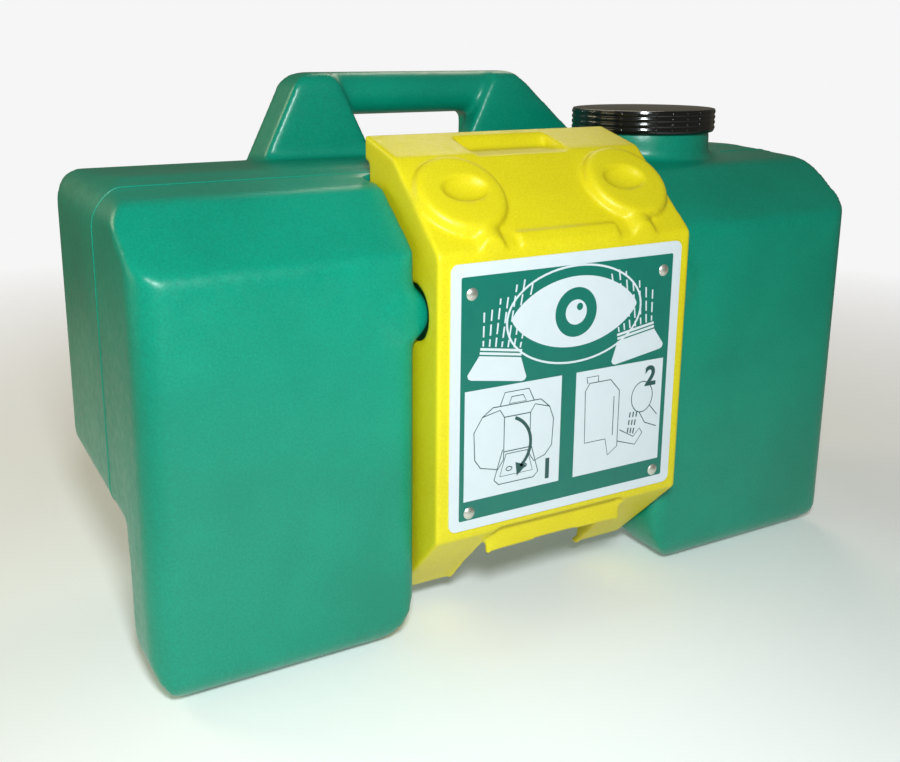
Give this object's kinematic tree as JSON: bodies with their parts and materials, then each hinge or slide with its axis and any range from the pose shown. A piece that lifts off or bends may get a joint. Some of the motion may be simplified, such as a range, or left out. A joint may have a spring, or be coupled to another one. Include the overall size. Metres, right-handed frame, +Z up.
{
  "type": "portable eyewash station",
  "caption": "Gravity-fed portable eyewash: moulded tank with carrying handle and screw cap, and a pull-down tray whose hoses feed upturned spray nozzles.",
  "frame": {"origin": "middle of the flat underside of the tank, on the moulding's parting plane, where the station sits on its shelf or bracket", "axes": "+X to the user's right, +Y to the back (the wall), +Z up"},
  "size_m": [0.65, 0.2872, 0.4225],
  "materials": {
    "tank_hdpe": "satin moulded polyethylene, teal green",
    "tray_hdpe": "satin moulded polyethylene, signal yellow",
    "cap_plastic": "glossy moulded black",
    "sign_face": "printed rigid plastic sheet, white and green",
    "rivet_metal": "domed, slightly dull",
    "seal_rubber": "black moulded rubber",
    "fitting_plastic": "natural acetal",
    "hose_vinyl": "translucent soft vinyl",
    "clamp_steel": "stainless band",
    "spray_plastic": "moulded green",
    "foam": "open-cell foam"
  },
  "bodies": {
    "tank_body": {"tank_front": "tank_hdpe", "tank_rear": "tank_hdpe", "filler_neck": "tank_hdpe", "carry_handle": "tank_hdpe", "pivot_pin_left": "fitting_plastic", "pivot_pin_right": "fitting_plastic", "pin_seal_left": "seal_rubber", "pin_seal_right": "seal_rubber", "pin_ring_left": "seal_rubber", "pin_ring_right": "seal_rubber"},
    "tray": {"pull_down_tray": "tray_hdpe", "nozzle_deck": "tray_hdpe", "sign_plate": "sign_face", "sign_rivets": "rivet_metal", "tray_bush_left": "fitting_plastic", "tray_bush_right": "fitting_plastic", "swivel_elbow_left": "fitting_plastic", "swivel_elbow_right": "fitting_plastic", "nozzle_body_left": "fitting_plastic", "nozzle_body_right": "fitting_plastic", "nozzle_nut_left": "fitting_plastic", "nozzle_nut_right": "fitting_plastic", "spray_head_left": "spray_plastic", "spray_head_right": "spray_plastic", "strainer_left": "foam", "strainer_right": "foam", "hose_left": "hose_vinyl", "hose_right": "hose_vinyl", "hose_clamps_left": "clamp_steel", "hose_clamps_right": "clamp_steel"},
    "liner": {"cap_liner": "seal_rubber"},
    "cap": {"fill_cap": "cap_plastic", "vent_disc": "foam", "vent_retainer": "fitting_plastic"}
  },
  "joints": [
    {"name": "tray_pivot", "type": "hinge", "parent": "tank_body", "child": "tray", "pos_m": [0, -0.1, -0.042], "axis": [1, 0, 0], "range_deg": [0, 90]},
    {"name": "cap_rise", "type": "slide", "parent": "tank_body", "child": "liner", "axis": [0, 0, 1], "range_m": [0, 0.016]},
    {"name": "cap_turn", "type": "hinge", "parent": "liner", "child": "cap", "pos_m": [0.19, 0, 0.263], "axis": [0, 0, 1], "range_deg": [0, 720]}
  ],
  "couplings": [
    {"joint": "cap_turn", "follows": "cap_rise", "rad_per_m": 785.4}
  ]
}
